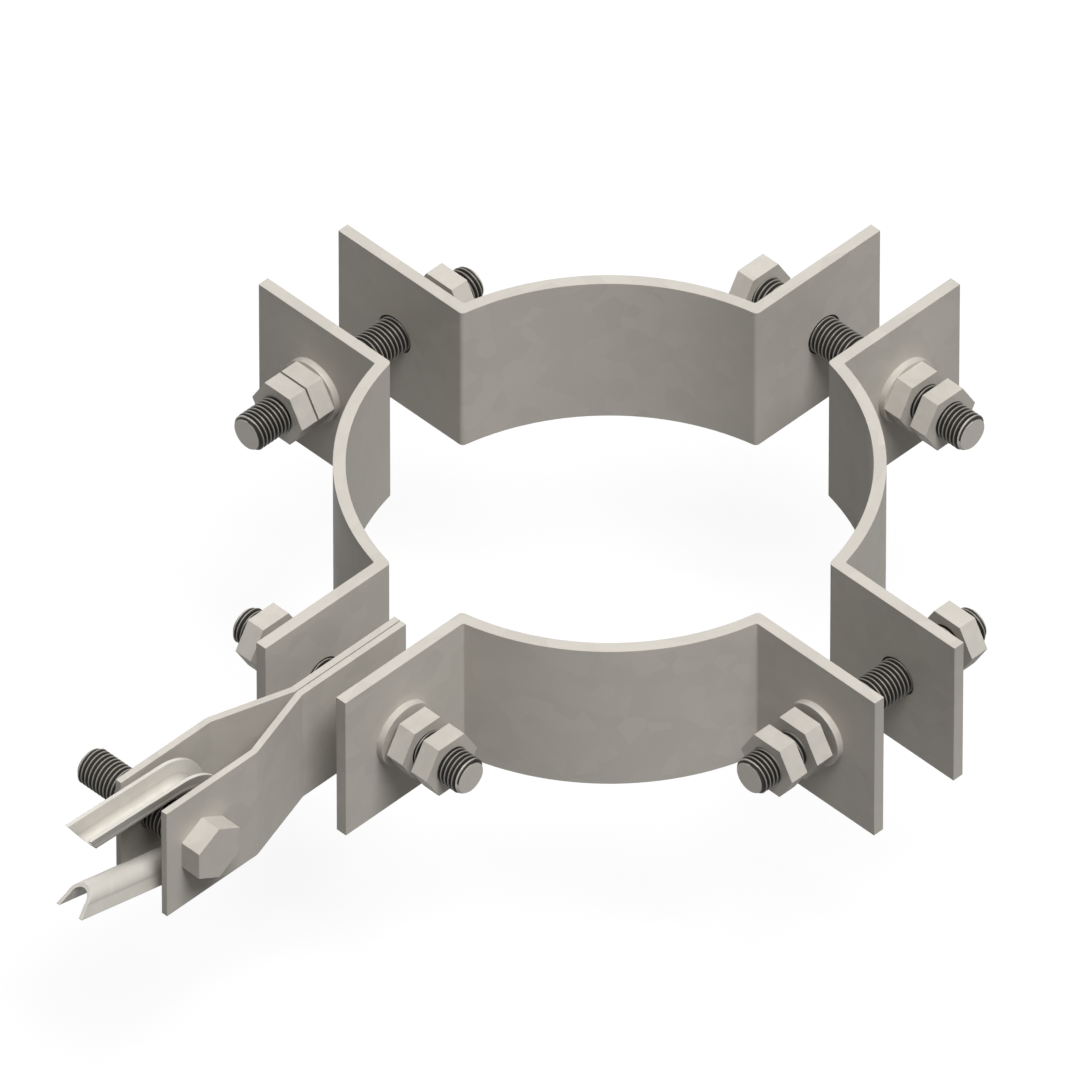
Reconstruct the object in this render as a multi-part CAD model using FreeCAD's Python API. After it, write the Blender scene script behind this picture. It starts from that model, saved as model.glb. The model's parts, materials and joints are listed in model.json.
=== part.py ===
import FreeCAD, Part
import math
import os

Vector = FreeCAD.Vector

# Pole band of four bent segments, drawn together by four threaded studs.
# A fork link hangs on the front left stud and holds an open guy thimble on a bolt.
# Millimetres. The origin is on the pole's axis at the band's lower edge.
# +X is right, +Y is the rear, +Z is up the pole.

# Pole and band segments
pole_diameter = 205.0
band_height = 70.0
band_thickness = 5.0
ear_gap = 38.8
bend_outer_radius = 2.0
bend_inner_radius = 1.0

# Places of the studs and the ear ends, each from the piece before it
pole_to_stud = 35.5
stud_to_ear_end = 30.9

# Studs, nuts and washers
stud_diameter = 16.0
stud_chamfer = 1.4
shortest_stud_end = 2.1
ear_hole_clearance = 0.75
nut_across_flats = 24.0
nut_height = 8.4
thread_clearance = 0.05
washer_diameter = 28.0
washer_thickness = 3.0
washer_clearance = 0.5

# Fork link
fork_height = 54.0
fork_thickness = 2.85
fork_end_to_stud = 23.3
stud_to_crank = 33.6
crank_length = 35.4
bolt_to_fork_end = 19.2
pivot_clearance = 0.3
crank_inner_radius = 4.0
fork_root_gap = 0.5

# Fork bolt
fork_bolt_diameter = 16.0
fork_bolt_clearance = 0.3
fork_bolt_chamfer = 1.4
fork_bolt_beyond_arm = 34.0
head_across_flats = 22.0
head_height = 9.5

# Open thimble
thimble_saddle_radius = 13.6
thimble_rim_radius = 24.0
thimble_rim_width = 13.8
thimble_groove_radius = 4.1
thimble_wall = 1.5
thimble_leg_length = 50.8
thimble_convergence = 5.4
thimble_end_slant = 35.0
thimble_tilt = 7.8
thimble_seat_angle = 41.7
thimble_seat_clearance = 0.2
thimble_side_room = 4.15
thimble_to_crank = 5.5

# What follows from the sizes above
pole_radius = pole_diameter / 2
band_outer_radius = pole_radius + band_thickness
half_gap = ear_gap / 2
ear_outer_face = half_gap + band_thickness
stud_reach = pole_radius + pole_to_stud
ear_reach = stud_reach + stud_to_ear_end
stud_level = band_height / 2
washer_face = ear_outer_face + washer_thickness

fork_gap = thimble_rim_width + 2 * thimble_side_room
fork_root_reach = stud_reach - fork_end_to_stud
crank_start = stud_reach + stud_to_crank
crank_end = crank_start + crank_length
bolt_reach = crank_end + thimble_rim_radius + thimble_to_crank
fork_end_reach = bolt_reach + bolt_to_fork_end
fork_outer_face = fork_gap / 2 + fork_thickness

# Each stud: the direction of its corner from the pole, the direction of its end that faces the
# viewer, and the band that each end passes through.
# Each side: free thread between washer and nut, and between nut and locknut.
corners = {
    "front_left": {
        "corner_angle": 225.0,
        "near_angle": 315.0,
        "near": ("front", 2.4, 4.9),
        "far": ("left", 0.0, 9.1),
    },
    "front_right": {
        "corner_angle": 315.0,
        "near_angle": 225.0,
        "near": ("front", 2.6, 5.5),
        "far": ("right", 0.0, 10.9),
    },
    "back_left": {
        "corner_angle": 135.0,
        "near_angle": 225.0,
        "near": ("left", 0.0, 0.9),
        "far": ("back", 0.0, 8.2),
    },
    "back_right": {
        "corner_angle": 45.0,
        "near_angle": 315.0,
        "near": ("right", 0.0, 5.6),
        "far": ("back", 0.0, 15.7),
    },
}

band_angles = {"front": 270.0, "back": 90.0, "left": 180.0, "right": 0.0}

# A stud is as long as its longest stack of washer and nuts needs.
free_thread = [sum(corner[side][1:]) for corner in corners.values() for side in ("near", "far")]
stud_half_length = washer_face + 2 * nut_height + max(free_thread) + shortest_stud_end

UP = Vector(0, 0, 1)


def direction(angle):
    """Level unit vector at an angle in degrees from +X."""
    turn = math.radians(angle)
    return Vector(math.cos(turn), math.sin(turn), 0)


def polygon_face(points):
    return Part.Face(Part.makePolygon(points + points[:1]))


def cylinder_along(radius, start, end):
    axis = end - start
    return Part.makeCylinder(radius, axis.Length, start, axis)


def stand_along(shape, start, axis):
    """Lays a shape made along +Z on a level axis, with its own +X side turned up."""
    placed = shape.copy()
    side = axis.cross(UP)
    placed.Placement = FreeCAD.Placement(start, FreeCAD.Rotation(UP, side, axis, "ZXY"))
    return placed


def turned_body(profile):
    """Solid of revolution about +Z from (radius, height) points that start and end on the axis."""
    face = polygon_face([Vector(radius, 0, height) for radius, height in profile])
    return face.revolve(Vector(0, 0, 0), UP, 360)


def hexagon_prism(across_flats, height, first_corner):
    corner_radius = across_flats / math.sqrt(3)
    points = [direction(first_corner + 60 * side) * corner_radius for side in range(6)]
    return polygon_face(points).extrude(UP * height)


def upright_edges(shape, corner, height):
    """The upright edges of a plate that stand on a corner of its outline."""
    found = []
    for edge in shape.Edges:
        middle = edge.CenterOfMass
        aside = math.hypot(middle.x - corner.x, middle.y - corner.y)
        if abs(edge.Length - height) < 1e-6 and aside < 1e-3:
            found.append(edge)
    return found


def band_segment(mid_angle):
    """One bent flat bar: an arc on the pole and an ear at each end, square to the stud."""
    ear = direction(45)
    toward_segment = direction(-45)
    inner_corner_angle = 45 - math.degrees(math.asin(half_gap / pole_radius))
    outer_corner_angle = 45 - math.degrees(math.asin(ear_outer_face / band_outer_radius))
    inner_corner = direction(inner_corner_angle) * pole_radius
    outer_corner = direction(outer_corner_angle) * band_outer_radius
    gap_side_end = ear * ear_reach + toward_segment * half_gap
    outer_side_end = ear * ear_reach + toward_segment * ear_outer_face

    def mirrored(point):
        return Vector(point.x, -point.y, 0)

    ear_line = [inner_corner, gap_side_end, outer_side_end, outer_corner]
    mirrored_line = [mirrored(point) for point in reversed(ear_line)]
    pole_side = Part.Arc(mirrored(inner_corner), Vector(pole_radius, 0, 0), inner_corner)
    outer_side = Part.Arc(outer_corner, Vector(band_outer_radius, 0, 0), mirrored(outer_corner))
    edges = [pole_side.toShape()]
    edges += Part.makePolygon(ear_line).Edges
    edges += [outer_side.toShape()]
    edges += Part.makePolygon(mirrored_line).Edges
    segment = Part.Face(Part.Wire(edges)).extrude(UP * band_height)

    for corner, radius in ((inner_corner, bend_outer_radius), (outer_corner, bend_inner_radius)):
        corner_edges = [
            edge
            for end in (corner, mirrored(corner))
            for edge in upright_edges(segment, end, band_height)
        ]
        segment = segment.makeFillet(radius, corner_edges)

    for mirror_sign in (1, -1):
        bore_axis = Vector(toward_segment.x, mirror_sign * toward_segment.y, 0)
        bore_centre = Vector(ear.x, mirror_sign * ear.y, 0) * stud_reach + UP * stud_level
        hole = cylinder_along(
            stud_diameter / 2 + ear_hole_clearance,
            bore_centre,
            bore_centre + bore_axis * (ear_outer_face + band_thickness),
        )
        segment = segment.cut(hole)
    segment.rotate(Vector(0, 0, 0), UP, mid_angle)
    return segment


def stud():
    """Fully threaded stud, to its crests, with both ends chamfered."""
    radius = stud_diameter / 2
    end_radius = radius - stud_chamfer
    length = 2 * stud_half_length
    return turned_body([
        (0, 0),
        (end_radius, 0),
        (radius, stud_chamfer),
        (radius, length - stud_chamfer),
        (end_radius, length),
        (0, length),
    ])


def nut():
    """Plain hexagon nut with sharp edges."""
    bore = Part.makeCylinder(stud_diameter / 2 + thread_clearance, nut_height)
    return hexagon_prism(nut_across_flats, nut_height, first_corner=30).cut(bore)


def washer():
    disc = Part.makeCylinder(washer_diameter / 2, washer_thickness)
    bore = Part.makeCylinder(stud_diameter / 2 + washer_clearance, washer_thickness)
    return disc.cut(bore)


def fork_arm():
    """The arm nearer the front band: flat root, crank and parallel tip, with two holes.

    It is drawn with its length along +X and the link's middle plane at y = 0."""
    root_inner = fork_root_gap / 2
    root_outer = root_inner + fork_thickness
    tip_inner = fork_gap / 2
    inner_line = [
        Vector(fork_root_reach, root_inner, 0),
        Vector(crank_start, root_inner, 0),
        Vector(crank_end, tip_inner, 0),
        Vector(fork_end_reach, tip_inner, 0),
    ]
    crank_angle = math.atan2(tip_inner - root_inner, crank_length)
    bend_shift = fork_thickness * math.tan(crank_angle / 2)
    outer_line = [
        Vector(fork_root_reach, root_outer, 0),
        Vector(crank_start - bend_shift, root_outer, 0),
        Vector(crank_end - bend_shift, fork_outer_face, 0),
        Vector(fork_end_reach, fork_outer_face, 0),
    ]
    arm = polygon_face(inner_line + outer_line[::-1]).extrude(UP * fork_height)
    crank_outer_radius = crank_inner_radius + fork_thickness
    for inside, outside in ((outer_line[1], inner_line[1]), (inner_line[2], outer_line[2])):
        arm = arm.makeFillet(crank_inner_radius, upright_edges(arm, inside, fork_height))
        arm = arm.makeFillet(crank_outer_radius, upright_edges(arm, outside, fork_height))
    arm.translate(UP * (stud_level - fork_height / 2))
    pivot_radius = stud_diameter / 2 + pivot_clearance
    bolt_radius = fork_bolt_diameter / 2 + fork_bolt_clearance
    for reach, radius in ((stud_reach, pivot_radius), (bolt_reach, bolt_radius)):
        centre = Vector(reach, 0, stud_level)
        hole = cylinder_along(
            radius,
            centre - Vector(0, fork_thickness, 0),
            centre + Vector(0, fork_outer_face + fork_thickness, 0),
        )
        arm = arm.cut(hole)
    return arm


def fork_bolt():
    """Hexagon bolt along +Z: the underside of its head is at z = 0 and its shank runs to -z."""
    radius = fork_bolt_diameter / 2
    length = fork_gap + 2 * fork_thickness + fork_bolt_beyond_arm
    shank = turned_body([
        (0, 0),
        (radius, 0),
        (radius, fork_bolt_chamfer - length),
        (radius - fork_bolt_chamfer, -length),
        (0, -length),
    ])
    head = hexagon_prism(head_across_flats, head_height, first_corner=0)
    return shank.fuse(head).removeSplitter()


def thimble_profile():
    """Section of the channel: its width along y, its height along x from the bend's centre."""
    outer = thimble_groove_radius + thimble_wall
    inner = thimble_groove_radius
    crease = thimble_saddle_radius + outer
    tip = thimble_rim_width / 2
    rim = thimble_rim_radius
    flare = math.atan2(tip - outer, rim - crease)
    inner_tip = tip - thimble_wall / math.cos(flare)
    saddle_arc = Part.Arc(
        Vector(crease, -outer, 0), Vector(crease - outer, 0, 0), Vector(crease, outer, 0)
    )
    groove_arc = Part.Arc(
        Vector(crease, inner, 0), Vector(crease - inner, 0, 0), Vector(crease, -inner, 0)
    )
    edges = [saddle_arc.toShape()]
    edges += Part.makePolygon([
        Vector(crease, outer, 0),
        Vector(rim, tip, 0),
        Vector(rim, inner_tip, 0),
        Vector(crease, inner, 0),
    ]).Edges
    edges += [groove_arc.toShape()]
    edges += Part.makePolygon([
        Vector(crease, -inner, 0),
        Vector(rim, -inner_tip, 0),
        Vector(rim, -tip, 0),
        Vector(crease, -outer, 0),
    ]).Edges
    return Part.Face(Part.Wire(edges))


def thimble():
    """Open thimble: the grooved bend and two legs that close in, their ends cut on a slant.

    The bend's centre is the origin, the width is along z, and the legs run to +x."""
    across = Vector(0, 0, 1)
    start_angle = 90 - thimble_convergence
    profile = thimble_profile()
    profile.rotate(Vector(0, 0, 0), Vector(1, 0, 0), 90)
    profile.rotate(Vector(0, 0, 0), across, start_angle)
    bend = profile.revolve(Vector(0, 0, 0), across, 180 + 2 * thimble_convergence)

    outward = direction(start_angle)
    along = direction(-thimble_convergence)
    depth = thimble_rim_radius - thimble_saddle_radius
    cut_back = depth * math.tan(math.radians(thimble_end_slant))
    leg = profile.extrude(along * thimble_leg_length)
    slant = polygon_face([
        along * thimble_leg_length + outward * thimble_rim_radius,
        along * (thimble_leg_length - cut_back) + outward * thimble_saddle_radius,
        along * (thimble_leg_length + depth) + outward * thimble_saddle_radius,
        along * (thimble_leg_length + depth) + outward * thimble_rim_radius,
    ]).extrude(across * thimble_rim_width)
    slant.translate(across * (-thimble_rim_width / 2))
    leg = leg.cut(slant)
    other_leg = leg.mirror(Vector(0, 0, 0), Vector(0, 1, 0))
    return bend.fuse([leg, other_leg]).removeSplitter()


def fork_side(shape, mirrored=False):
    """Moves a shape from the link's own length along +X to the front left corner."""
    placed = shape.mirror(Vector(0, 0, 0), Vector(0, 1, 0)) if mirrored else shape.copy()
    placed.rotate(Vector(0, 0, 0), UP, corners["front_left"]["corner_angle"])
    return placed


def seated_thimble():
    """Turns the thimble's width across the fork and seats its bend on the fork bolt."""
    placed = thimble()
    placed.rotate(Vector(0, 0, 0), Vector(1, 0, 0), 90)
    placed.rotate(Vector(0, 0, 0), Vector(0, 1, 0), -thimble_tilt)
    offset = thimble_saddle_radius - fork_bolt_diameter / 2 - thimble_seat_clearance
    seat = math.radians(thimble_tilt + thimble_seat_angle)
    placed.translate(Vector(
        bolt_reach + offset * math.cos(seat), 0, stud_level + offset * math.sin(seat)
    ))
    return fork_side(placed)


def stack_nodes(corner_name, corner, side):
    """Washer, nut and locknut on one end of a stud, by the band that the end passes through."""
    sign = 1 if side == "near" else -1
    axis = direction(corner["near_angle"]) * sign
    middle = direction(corner["corner_angle"]) * stud_reach + UP * stud_level
    band_name, washer_to_nut, nut_to_locknut = corner[side]
    nut_start = washer_face + washer_to_nut
    locknut_start = nut_start + nut_height + nut_to_locknut
    place = f"{corner_name}_by_{band_name}"
    return {
        f"washer_{place}": stand_along(washer(), middle + axis * ear_outer_face, axis),
        f"nut_{place}": stand_along(nut(), middle + axis * nut_start, axis),
        f"locknut_{place}": stand_along(nut(), middle + axis * locknut_start, axis),
    }


def build():
    nodes = {}
    for band_name, angle in band_angles.items():
        nodes[f"band_{band_name}"] = band_segment(angle)
    for corner_name, corner in corners.items():
        axis = direction(corner["near_angle"])
        middle = direction(corner["corner_angle"]) * stud_reach + UP * stud_level
        start = middle - axis * stud_half_length
        nodes[f"stud_{corner_name}"] = stand_along(stud(), start, axis)
        nodes.update(stack_nodes(corner_name, corner, "near"))
        nodes.update(stack_nodes(corner_name, corner, "far"))
    arm = fork_arm()
    nodes["fork_arm_by_front"] = fork_side(arm)
    nodes["fork_arm_by_left"] = fork_side(arm, mirrored=True)
    head_seat = Vector(bolt_reach, fork_outer_face, stud_level)
    bolt = stand_along(fork_bolt(), head_seat, Vector(0, 1, 0))
    nodes["fork_bolt"] = fork_side(bolt)
    nodes["thimble"] = seated_thimble()
    return nodes


os.makedirs("parts", exist_ok=True)
for node, shape in build().items():
    shape.exportStep(f"parts/{node}.step")
    print(node, "solids", len(shape.Solids), "valid", shape.isValid(), "mm3", round(shape.Volume))
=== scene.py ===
# %% [markdown]
# # A pole band in galvanised steel
#
# The object is a clamp for a round pole. Four bent bars close round the pole, and four threaded
# studs draw their ears together with nuts and washers. On one stud hangs a fork link made of two
# cranked plates, and a bolt through the fork holds an open thimble, the grooved piece that a guy
# wire bends round.
#
# The solid pieces come from the CAD frame, which already has the right shapes and places. This
# lesson gives them their finish, cuts the real threads that the CAD leaves plain, and sets the
# studio.

# %% Load the frame
import json
import math

import bmesh
import bpy
from mathutils import Matrix, Vector


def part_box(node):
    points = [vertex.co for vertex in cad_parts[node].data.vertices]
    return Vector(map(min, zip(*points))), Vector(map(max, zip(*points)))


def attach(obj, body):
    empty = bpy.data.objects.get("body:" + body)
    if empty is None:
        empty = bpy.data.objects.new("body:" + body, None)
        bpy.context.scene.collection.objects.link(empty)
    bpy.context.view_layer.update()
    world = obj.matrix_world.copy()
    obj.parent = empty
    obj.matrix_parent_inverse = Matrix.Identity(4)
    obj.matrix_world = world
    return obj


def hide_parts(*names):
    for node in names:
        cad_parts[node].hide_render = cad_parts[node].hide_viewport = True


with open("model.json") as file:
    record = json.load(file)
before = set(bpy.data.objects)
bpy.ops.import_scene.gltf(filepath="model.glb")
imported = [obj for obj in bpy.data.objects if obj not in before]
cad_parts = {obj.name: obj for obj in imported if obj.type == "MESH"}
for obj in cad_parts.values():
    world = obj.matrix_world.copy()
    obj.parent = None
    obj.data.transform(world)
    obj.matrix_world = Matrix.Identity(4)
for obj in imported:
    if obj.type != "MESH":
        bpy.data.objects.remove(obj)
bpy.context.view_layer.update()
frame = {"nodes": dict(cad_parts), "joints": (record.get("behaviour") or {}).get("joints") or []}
nodes = frame["nodes"]
MM = 0.001


def in_mm(metres):
    """A length for printing."""
    return round(metres / MM, 1)


# %% [markdown]
# Colours are easiest to read as the hex values of a paint or image program. Those are in the sRGB
# scale, while the renderer adds light on a linear scale, so one function turns one into the
# other. A second function adds a shader node with its settings and its links, which keeps each
# material short. A third gives a texture's scale from the real size of its features.

# %% Colour and node helpers
def linear(hex_colour):
    """A linear RGBA colour from an sRGB hex value, by the formula of the sRGB standard."""
    channels = [int(hex_colour[place:place + 2], 16) / 255 for place in (1, 3, 5)]
    return [c / 12.92 if c <= 0.04045 else ((c + 0.055) / 1.055) ** 2.4 for c in channels] + [1.0]


def add_node(tree, kind, settings=None, links=None):
    """A new shader node: settings are properties or input values, links are output sockets."""
    node = tree.nodes.new(kind)
    for name, value in (settings or {}).items():
        if isinstance(name, str) and hasattr(node, name):
            setattr(node, name, value)
        else:
            node.inputs[name].default_value = value
    for name, source in (links or {}).items():
        tree.links.new(source, node.inputs[name])
    return node


def pattern_scale(size_mm):
    """The scale of a texture whose features are this large, in coordinates that are metres."""
    return 1 / (size_mm * MM)


print("mid grey in linear light", round(linear("#808080")[0], 3))

# %% [markdown]
# Hot-dip galvanised steel is steel that was lowered into molten zinc. The zinc freezes in flat
# crystals, called spangle. A Voronoi texture is the right pattern for them, because each of its
# cells has one value, as each crystal has one tone. The zinc also has large soft clouds where it
# ran off unevenly, and a Noise texture gives those.

# %% Spangle and clouds
CLOUD_MM = 45
CRYSTAL_SHARE = 0.45


def spangle(tree, place, spangle_mm):
    """The tone of each crystal, and that tone mixed with the clouds."""
    crystals = add_node(
        tree, "ShaderNodeTexVoronoi", {"Scale": pattern_scale(spangle_mm)}, {"Vector": place}
    )
    crystal_tone = add_node(
        tree, "ShaderNodeSeparateColor", {}, {"Color": crystals.outputs["Color"]}
    ).outputs["Red"]
    clouds = add_node(
        tree,
        "ShaderNodeTexNoise",
        {"Scale": pattern_scale(CLOUD_MM), "Detail": 4.0},
        {"Vector": place},
    ).outputs["Fac"]
    tone = add_node(
        tree, "ShaderNodeMix", {"Factor": CRYSTAL_SHARE}, {"A": clouds, "B": crystal_tone}
    ).outputs["Result"]
    return crystal_tone, tone


print("cloud scale", round(pattern_scale(CLOUD_MM)), "per metre")

# %% [markdown]
# The roots of a thread are darkened in the colour. Part of it is grease and dirt, which stay
# there, and part is painted shade, which stands in for the shadow deep in the roots. The thread's
# mesh, which comes later, stores how much darkening each vertex has, and the shader darkens the
# zinc by that value. A piece without a thread has no such value, and it then counts as zero.

# %% Painted shade and dirt in the threads
SHADE_AND_DIRT_LAYER = "thread_shade_and_dirt"
# From this much painted shade and dirt on, the zinc is as dark as it gets.
FULL_SHADE_AND_DIRT = 0.5
ROOT_SHADE = 0.07


def painted_shade_and_dirt(tree):
    """A colour factor: 1 on clean zinc, down to ROOT_SHADE for full painted shade and dirt."""
    # The stored value darkens thread roots: painted shade and dirt.
    shade_and_dirt = add_node(
        tree, "ShaderNodeAttribute", {"attribute_name": SHADE_AND_DIRT_LAYER}
    ).outputs["Fac"]
    return add_node(
        tree,
        "ShaderNodeMapRange",
        {"From Max": FULL_SHADE_AND_DIRT, "To Min": 1.0, "To Max": ROOT_SHADE},
        {"Value": shade_and_dirt},
    ).outputs["Result"]


print("share of the colour left in the roots", ROOT_SHADE)

# %% [markdown]
# The zinc rounds the steel's corners, and its surface has a slight orange peel. Both are too
# small for the mesh, so they only turn the normal: the Bevel node rounds the corners, and the
# Bump node adds the peel on top.

# %% Rounded corners and orange peel
ZINC_ROUND = 0.3 * MM
PEEL_MM = 1.6
PEEL_DEPTH = 0.012 * MM


def skin_relief(tree, place):
    """The normal of the zinc skin."""
    rounded = add_node(
        tree, "ShaderNodeBevel", {"samples": 6, "Radius": ZINC_ROUND}
    ).outputs["Normal"]
    peel = add_node(
        tree,
        "ShaderNodeTexNoise",
        {"Scale": pattern_scale(PEEL_MM), "Detail": 3.0},
        {"Vector": place},
    ).outputs["Fac"]
    return add_node(
        tree,
        "ShaderNodeBump",
        {"Strength": 1.0, "Distance": PEEL_DEPTH},
        {"Height": peel, "Normal": rounded},
    ).outputs["Normal"]


print("corner radius in mm", in_mm(ZINC_ROUND))

# %% [markdown]
# Outdoors the zinc dulls to a warm grey oxide skin that is partly chalky. So the shader is only
# partly metallic, its gloss is wide, and the crystals show as faint changes of tone and of gloss.
# A chalky skin also mirrors less than a clean surface, mostly at flat angles, and a low specular
# level gives that.

# %% Galvanised steel
OXIDE_GLOSS = 0.08
GLOSS_CHANGE = 0.05
# Nearly all of the mixed tone lies between these two values.
TONE_LOW = 0.2
TONE_HIGH = 0.8


def galvanised_steel(name, colour, roughness, metallic, spangle_mm, tone_change):
    """Dull zinc skin with spangle of a real size, a cloudy tone and edges rounded by the zinc."""
    material = bpy.data.materials.new(name)
    material.use_nodes = True
    tree = material.node_tree
    shader = tree.nodes["Principled BSDF"]
    place = add_node(tree, "ShaderNodeTexCoord").outputs["Object"]
    crystal_tone, tone = spangle(tree, place, spangle_mm)
    clean_shade = add_node(
        tree,
        "ShaderNodeMapRange",
        {
            "From Min": TONE_LOW,
            "From Max": TONE_HIGH,
            "To Min": 1 - tone_change,
            "To Max": 1 + tone_change,
        },
        {"Value": tone},
    ).outputs["Result"]
    # The second factor darkens thread roots with painted shade and dirt.
    shade = add_node(
        tree,
        "ShaderNodeMath",
        {"operation": "MULTIPLY"},
        {0: clean_shade, 1: painted_shade_and_dirt(tree)},
    ).outputs["Value"]
    base = add_node(
        tree,
        "ShaderNodeVectorMath",
        {"operation": "SCALE", 0: linear(colour)[:3]},
        {"Scale": shade},
    ).outputs["Vector"]
    gloss = add_node(
        tree,
        "ShaderNodeMapRange",
        {"To Min": roughness - GLOSS_CHANGE, "To Max": roughness + GLOSS_CHANGE},
        {"Value": crystal_tone},
    ).outputs["Result"]
    shader.inputs["Metallic"].default_value = metallic
    shader.inputs["Specular IOR Level"].default_value = OXIDE_GLOSS
    tree.links.new(base, shader.inputs["Base Color"])
    tree.links.new(gloss, shader.inputs["Roughness"])
    tree.links.new(skin_relief(tree, place), shader.inputs["Normal"])
    print(name, "spangle scale", round(pattern_scale(spangle_mm)), "per metre")
    return material


# %% [markdown]
# All the pieces were galvanised, but not in the same way. Bars and plates cool slowly and get
# large crystals and a dull skin. Studs, nuts and washers are spun in a basket to clear their
# threads, which leaves a smoother skin with fine crystals. The thimble is pressed from thin
# strip, and its zinc is a little lighter and keeps more of its shine.

# %% The four finishes
plate_zinc = galvanised_steel(
    "hot_dip_galvanised_plate",
    "#BDB8B0",
    roughness=0.58,
    metallic=0.08,
    spangle_mm=9,
    tone_change=0.05,
)
thread_zinc = galvanised_steel(
    "spun_galvanised_thread",
    "#BDB8B0",
    roughness=0.42,
    metallic=0.25,
    spangle_mm=2.5,
    tone_change=0.04,
)
nut_zinc = galvanised_steel(
    "spun_galvanised_hardware",
    "#BFBAB2",
    roughness=0.52,
    metallic=0.14,
    spangle_mm=4,
    tone_change=0.04,
)
strip_zinc = galvanised_steel(
    "galvanised_pressed_strip",
    "#C8C4BC",
    roughness=0.50,
    metallic=0.15,
    spangle_mm=5,
    tone_change=0.04,
)

# %% [markdown]
# A node's name says what kind of piece it is and then where it sits, as in nut_front_left_by_left.
# So the start of the name is enough to choose the finish.

# %% A finish for each node
finishes = {
    "band": plate_zinc,
    "fork_arm": plate_zinc,
    "stud": thread_zinc,
    "fork_bolt": nut_zinc,
    "washer": nut_zinc,
    "nut": nut_zinc,
    "locknut": nut_zinc,
    "thimble": strip_zinc,
}
for name, node in nodes.items():
    kind = next(kind for kind in finishes if name.startswith(kind))
    node.data.materials.clear()
    node.data.materials.append(finishes[kind])
print("nodes with a finish", len(nodes))

# %% [markdown]
# The studs are threaded from end to end. A metric thread of 16 mm rises 2 mm a turn, its flanks
# stand at 60 degrees, and its root lies 0.6134 of the pitch below the crest. Here the crest and
# the rounded root are flat, which makes each flank 3 degrees steeper. The thread could be faked
# with a bump texture, but it shows in the outline of each stud, so it is cut in the mesh. The way
# is a long helical ribbon with one pitch of the thread as its section. Each vertex stores how much
# the colour is darkened there, as dirt and as painted shade: the crests get a little, the roots
# the full amount, and the cones at the two ends none.

# %% The thread's ribbon
THREAD_PITCH = 2.0 * MM
ROOT_DEPTH = 0.6134 * THREAD_PITCH
STEPS_PER_TURN = 36
# The ribbon starts and ends beyond the rod, so that only full turns are sliced.
TURNS_BELOW = 2
TURNS_ABOVE = 1
# Each pair is a place along the pitch and a depth below the crest, both as shares.
THREAD_SECTION = [(0.0, 0.0), (0.125, 0.0), (0.4375, 1.0), (0.6875, 1.0)]
CREST_SHADE_AND_DIRT = 0.2


def ribbon_rows(mesh, stored_shade_and_dirt, crest_radius, length, chamfer):
    """The ribbon's vertices, one short row across the ribbon for each step of the helix."""
    turns = math.ceil(length / THREAD_PITCH) + TURNS_BELOW + TURNS_ABOVE
    rows = []
    for step in range(turns * STEPS_PER_TURN + 1):
        angle = 2 * math.pi * step / STEPS_PER_TURN
        start = THREAD_PITCH * (step / STEPS_PER_TURN - TURNS_BELOW)
        row = []
        for share, depth in THREAD_SECTION:
            height = start + share * THREAD_PITCH
            end_room = min(height, length - height)
            cone_radius = crest_radius - chamfer + max(end_room, 0)
            thread_radius = crest_radius - depth * ROOT_DEPTH
            radius = min(thread_radius, cone_radius)
            point = (radius * math.cos(angle), radius * math.sin(angle), height)
            vertex = mesh.verts.new(point)
            # Painted shade and dirt: a little on the crests, the full amount in the roots, none on
            # the cones.
            shade_and_dirt = CREST_SHADE_AND_DIRT + (1 - CREST_SHADE_AND_DIRT) * depth
            vertex[stored_shade_and_dirt] = shade_and_dirt if thread_radius < cone_radius else 0
            row.append(vertex)
        rows.append(row)
    return rows


print("thread depth in mm", round(ROOT_DEPTH / MM, 2))

# %% [markdown]
# The faces join each row of the ribbon to the next one. Where the ribbon's upper edge meets its
# own next turn, both use the same vertices, so the thread is one closed skin. The ribbon is
# longer than the rod, and its two ends are sliced flat and closed, as a saw and a lathe would do
# it. Those end faces get no painted shade or dirt.

# %% A threaded rod as a mesh
def cover_ribbon(mesh, rows):
    """The ribbon's faces, with its upper edge closed onto the turn above it."""
    for step in range(len(rows) - 1):
        lower = list(rows[step])
        following = list(rows[step + 1])
        if step + 1 + STEPS_PER_TURN < len(rows):
            lower.append(rows[step + STEPS_PER_TURN][0])
            following.append(rows[step + 1 + STEPS_PER_TURN][0])
        for place in range(len(lower) - 1):
            mesh.faces.new(
                (lower[place], following[place], following[place + 1], lower[place + 1])
            )


def slice_end(mesh, stored_shade_and_dirt, height, outward):
    """Cuts off what lies outward of a height, and closes the cut with one face."""
    cut = bmesh.ops.bisect_plane(
        mesh,
        geom=mesh.verts[:] + mesh.edges[:] + mesh.faces[:],
        plane_co=(0, 0, height),
        plane_no=(0, 0, outward),
        clear_outer=True,
    )
    rim = [item for item in cut["geom_cut"] if isinstance(item, bmesh.types.BMEdge)]
    # The cut ends get no painted shade or dirt.
    for edge in rim:
        for vertex in edge.verts:
            vertex[stored_shade_and_dirt] = 0
    bmesh.ops.contextual_create(mesh, geom=rim)


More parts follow.
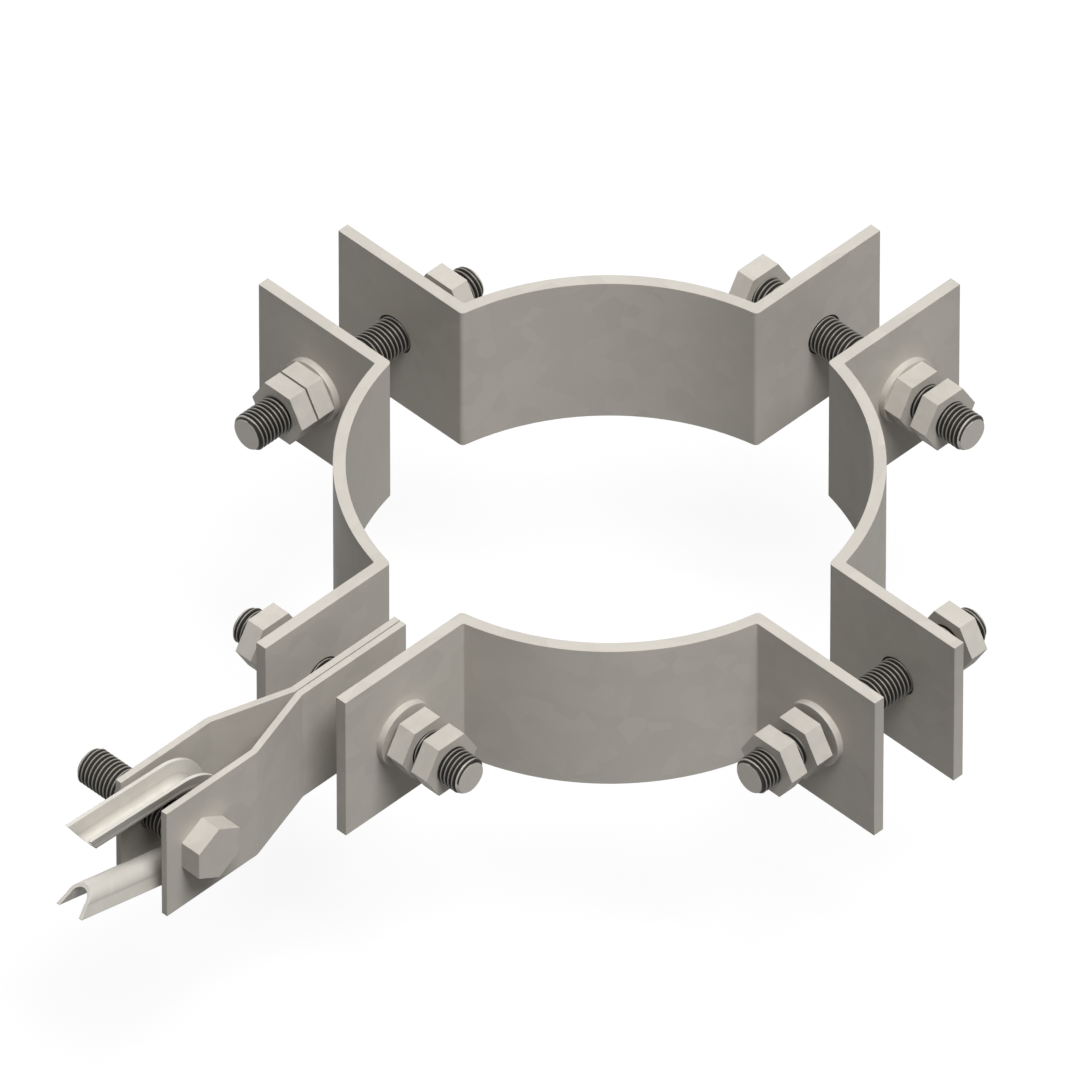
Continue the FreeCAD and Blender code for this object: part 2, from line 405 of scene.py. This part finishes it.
def threaded_rod(crest_radius, length, chamfer):
    """A closed bmesh of a threaded rod along +Z from z = 0, with a cone at both ends."""
    mesh = bmesh.new()
    stored_shade_and_dirt = mesh.verts.layers.float.new(SHADE_AND_DIRT_LAYER)
    cover_ribbon(mesh, ribbon_rows(mesh, stored_shade_and_dirt, crest_radius, length, chamfer))
    for height, outward in ((0, -1), (length, 1)):
        slice_end(mesh, stored_shade_and_dirt, height, outward)
    loose = [vertex for vertex in mesh.verts if not vertex.link_faces]
    bmesh.ops.delete(mesh, geom=loose, context="VERTS")
    bmesh.ops.recalc_face_normals(mesh, faces=mesh.faces[:])
    return mesh


print("faces in a full turn", STEPS_PER_TURN * len(THREAD_SECTION))

# %% [markdown]
# A rod is made along +Z, as on a lathe, and is then laid on its own axis in the object. The CAD
# nodes hold their places in their meshes and not in their transforms, so the new pieces do the
# same, and the textures then lie on all of them alike. Round surfaces are shaded smooth, and
# edges sharper than 28 degrees, such as those of the thread, stay crisp.

# %% Measuring a node and placing a piece
SHARP_ANGLE = math.radians(28)


def span(node, axis):
    """The lowest and highest place of a CAD node's vertices along an axis."""
    places = [vertex.co.dot(axis) for vertex in nodes[node].data.vertices]
    return min(places), max(places)


def lay_along(start, axis):
    """The matrix that lays a shape made along +Z on a level axis, from a start point."""
    up = Vector((0, 0, 1))
    side = up.cross(axis)
    turn = Matrix((side, up, axis)).transposed().to_4x4()
    return Matrix.Translation(start) @ turn


def finished_piece(name, mesh, matrix, material):
    """Turns a bmesh into an object with its place in the mesh, as the CAD nodes have it."""
    mesh.transform(matrix)
    data = bpy.data.meshes.new(name)
    mesh.to_mesh(data)
    mesh.free()
    data.materials.append(material)
    for face in data.polygons:
        face.use_smooth = True
    data.set_sharp_from_angle(angle=SHARP_ANGLE)
    piece = bpy.data.objects.new(name, data)
    bpy.context.scene.collection.objects.link(piece)
    return piece


print("edges stay crisp from", round(math.degrees(SHARP_ANGLE)), "degrees")

# %% [markdown]
# Each stud takes its place, length and diameter from its CAD node, so the thread follows when the
# node changes. The two studs on one diagonal run to the right and front, the other two run to the
# left and front.

# %% The studs
STUD_CHAMFER = 1.4 * MM
to_right_front = Vector((1, -1, 0)).normalized()
to_left_front = Vector((-1, -1, 0)).normalized()
stud_axes = {
    "stud_front_left": to_right_front,
    "stud_back_right": to_right_front,
    "stud_front_right": to_left_front,
    "stud_back_left": to_left_front,
}
for node, axis in stud_axes.items():
    low, high = span(node, axis)
    bottom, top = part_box(node)
    radius = (top.z - bottom.z) / 2
    centre = (bottom + top) / 2
    start = centre - axis * (high - low) / 2
    rod = threaded_rod(radius, high - low, STUD_CHAMFER)
    piece = finished_piece(f"{node}_thread", rod, lay_along(start, axis), thread_zinc)
    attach(piece, "band")
    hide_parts(node)
    print(node, "length in mm", in_mm(high - low), "faces", len(piece.data.polygons))

# %% [markdown]
# The fork bolt has a hexagon head, a plain prism with six flats. One corner of it points straight
# up, as in the photograph.

# %% The bolt's head
HEAD_ACROSS_FLATS = 22.0 * MM
HEAD_HEIGHT = 9.5 * MM
CORNER_UP = math.radians(90)
SIDES = 6


def hexagon_head(across_flats, height, first_corner):
    """A closed bmesh of a bolt head along +Z from z = 0."""
    mesh = bmesh.new()
    corner_radius = across_flats / math.sqrt(3)
    bottom, top = [], []
    for side in range(SIDES):
        angle = first_corner + side * math.pi / 3
        corner = Vector((math.cos(angle), math.sin(angle), 0)) * corner_radius
        bottom.append(mesh.verts.new(corner))
        top.append(mesh.verts.new(corner + Vector((0, 0, height))))
    for side in range(SIDES):
        following = (side + 1) % SIDES
        mesh.faces.new((bottom[side], bottom[following], top[following], top[side]))
    mesh.faces.new(top)
    mesh.faces.new(list(reversed(bottom)))
    return mesh


head = hexagon_head(HEAD_ACROSS_FLATS, HEAD_HEIGHT, CORNER_UP)
print("head across flats in mm", in_mm(HEAD_ACROSS_FLATS), "faces", len(head.faces))

# %% [markdown]
# The bolt is threaded up to its head. Its axis is the hinge of the thimble, which the frame gives
# as a joint, and its ends come from the CAD node. The shank and the head are two closed shapes in
# one mesh.

# %% The fork bolt
def joined(first, second):
    """Adds the second bmesh to the first, which stays."""
    carrier = bpy.data.meshes.new("carrier")
    second.to_mesh(carrier)
    second.free()
    first.from_mesh(carrier)
    bpy.data.meshes.remove(carrier)
    return first


BOLT_RADIUS = 8.0 * MM
hinge = next(joint for joint in frame["joints"] if joint["name"] == "thimble_swing")
pivot = Vector(hinge["pos_m"])
low, high = span("fork_bolt", to_right_front)
tip = pivot + to_right_front * (low - pivot.dot(to_right_front))
shank_length = high - low - HEAD_HEIGHT
shank = threaded_rod(BOLT_RADIUS, shank_length, STUD_CHAMFER)
head.transform(Matrix.Translation((0, 0, shank_length)))
bolt = joined(shank, head)
piece = finished_piece("fork_bolt_thread", bolt, lay_along(tip, to_right_front), nut_zinc)
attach(piece, "link")
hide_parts("fork_bolt")
print("shank in mm", in_mm(shank_length), "faces", len(piece.data.polygons))

# %% [markdown]
# The floor looks pale and plain. It lies 100 mm below the band, because the fork link and the
# thimble hang lower than the band when they swing down, as they can on a pole.

# %% The floor
FLOOR_SIDE = 40.0
FLOOR_DROP = 100 * MM
half_side = FLOOR_SIDE / 2
ways = ((-1, -1), (1, -1), (1, 1), (-1, 1))
corners = [(x * half_side, y * half_side, 0) for x, y in ways]
floor_mesh = bpy.data.meshes.new("floor")
floor_mesh.from_pydata(corners, [], [(0, 1, 2, 3)])
floor = bpy.data.objects.new("floor", floor_mesh)
floor.location.z = -FLOOR_DROP
bpy.context.scene.collection.objects.link(floor)
print("floor side in m", FLOOR_SIDE, "drop in mm", in_mm(FLOOR_DROP))

# %% [markdown]
# The floor's own colour is a dark grey, so that it throws little light up at the steel. What the
# camera and the reflections see is lifted to white with the Light Path node. A soft shadow stays,
# because it is in the part that the lamps light.

# %% The floor's finish
FLOOR_ALBEDO = 0.10
FLOOR_LIFT = 0.90


def seen_directly(tree):
    """A factor that is 1 for what the camera, a reflection or a glass piece sees."""
    path = add_node(tree, "ShaderNodeLightPath").outputs
    glossy = add_node(
        tree,
        "ShaderNodeMath",
        {"operation": "MAXIMUM"},
        {0: path["Is Camera Ray"], 1: path["Is Glossy Ray"]},
    ).outputs["Value"]
    return add_node(
        tree,
        "ShaderNodeMath",
        {"operation": "MAXIMUM"},
        {0: glossy, 1: path["Is Transmission Ray"]},
    ).outputs["Value"]


floor_finish = bpy.data.materials.new("studio_floor")
floor_finish.use_nodes = True
tree = floor_finish.node_tree
tree.nodes.clear()
matt = add_node(tree, "ShaderNodeBsdfDiffuse", {"Color": (FLOOR_ALBEDO,) * 3 + (1,)})
lift = add_node(
    tree, "ShaderNodeMath", {"operation": "MULTIPLY", 1: FLOOR_LIFT}, {0: seen_directly(tree)}
).outputs["Value"]
glow = add_node(tree, "ShaderNodeEmission", {}, {"Strength": lift})
both = add_node(
    tree, "ShaderNodeAddShader", {}, {0: matt.outputs["BSDF"], 1: glow.outputs["Emission"]}
)
add_node(tree, "ShaderNodeOutputMaterial", {}, {"Surface": both.outputs["Shader"]})
floor_mesh.materials.append(floor_finish)
print("floor albedo", FLOOR_ALBEDO, "lift", FLOOR_LIFT)

# %% [markdown]
# A weak sky fills the shadows, and it leans: it is stronger from the front right, where a studio
# has its white wall, and weaker from the back left. Where the camera or a reflection sees the
# sky, its strength is 1, which is white.

# %% The sky
WHITE = (1.0, 1.0, 1.0, 1.0)
SKY_SEEN = 1.0
SKY_FILL = 0.14
SKY_LEAN = 0.05
white_wall = Vector((0.6, -0.8, 0.0))
world = bpy.data.worlds.new("studio")
bpy.context.scene.world = world
world.use_nodes = True
tree = world.node_tree
tree.nodes.clear()
direction = add_node(tree, "ShaderNodeTexCoord").outputs["Generated"]
towards_wall = add_node(
    tree, "ShaderNodeVectorMath", {"operation": "DOT_PRODUCT", 1: white_wall}, {0: direction}
).outputs["Value"]
fill = add_node(
    tree,
    "ShaderNodeMath",
    {"operation": "MULTIPLY_ADD", 1: SKY_LEAN, 2: SKY_FILL},
    {0: towards_wall},
).outputs["Value"]
strength = add_node(
    tree, "ShaderNodeMix", {"B": SKY_SEEN}, {"Factor": seen_directly(tree), "A": fill}
).outputs["Result"]
sky = add_node(tree, "ShaderNodeBackground", {"Color": WHITE}, {"Strength": strength})
add_node(tree, "ShaderNodeOutputWorld", {}, {"Surface": sky.outputs["Background"]})
print("sky fill from", round(SKY_FILL - SKY_LEAN, 2), "to", round(SKY_FILL + SKY_LEAN, 2))

# %% [markdown]
# The key light is a large soft lamp high up, to the front and a little to the right. So the upper
# edges are the brightest, the faces that turn to the front right are in the middle, and the faces
# that turn left are the darkest. A second weak lamp stands low behind the object, so that its
# back isn't lost when it is seen from there.

# %% The lamps
def soft_lamp(name, towards, strength, spread_degrees):
    """A sun lamp that stands in a direction from the object, its disc wide for soft shadows."""
    data = bpy.data.lights.new(name, "SUN")
    data.energy = strength
    data.angle = math.radians(spread_degrees)
    lamp = bpy.data.objects.new(name, data)
    lamp.rotation_mode = "QUATERNION"
    lamp.rotation_quaternion = Vector(towards).to_track_quat("Z", "Y")
    bpy.context.scene.collection.objects.link(lamp)
    return lamp


key = soft_lamp("key", towards=(0.19, -0.34, 0.92), strength=3.8, spread_degrees=30)
back_light = soft_lamp(
    "back_light", towards=(-0.1, 0.97, 0.22), strength=1.1, spread_degrees=40
)
print("lamp strengths", round(key.data.energy, 2), round(back_light.data.energy, 2))

# %% [markdown]
# The picture is drawn in a parallel view from the front, tilted down by about 43 degrees. A
# camera with a very long lens from far away gives nearly the same picture, and it can still be
# moved round the object for other views. The frame's width is what the picture shows at the
# object, in metres, while the lens and the sensor are in millimetres, as on a real camera.

# %% The camera
VIEW_TILT = math.radians(42.96)
FRAME_WIDTH = 0.4192
LENS = 1500.0
SENSOR = 36.0
aim = Vector((-27.05, -20.47, 48.02)) * MM
camera_data = bpy.data.cameras.new("camera")
camera_data.sensor_width = SENSOR
camera_data.lens = LENS
camera_data.clip_start = 1.0
camera_data.clip_end = 60.0
camera = bpy.data.objects.new("camera", camera_data)
distance = FRAME_WIDTH * LENS / SENSOR
back = Vector((0, -math.cos(VIEW_TILT), math.sin(VIEW_TILT)))
camera.location = aim + back * distance
camera.rotation_euler = (math.pi / 2 - VIEW_TILT, 0, 0)
bpy.context.scene.collection.objects.link(camera)
bpy.context.scene.camera = camera
bpy.context.scene.view_settings.view_transform = "Standard"
print("camera distance in m", round(distance, 2))
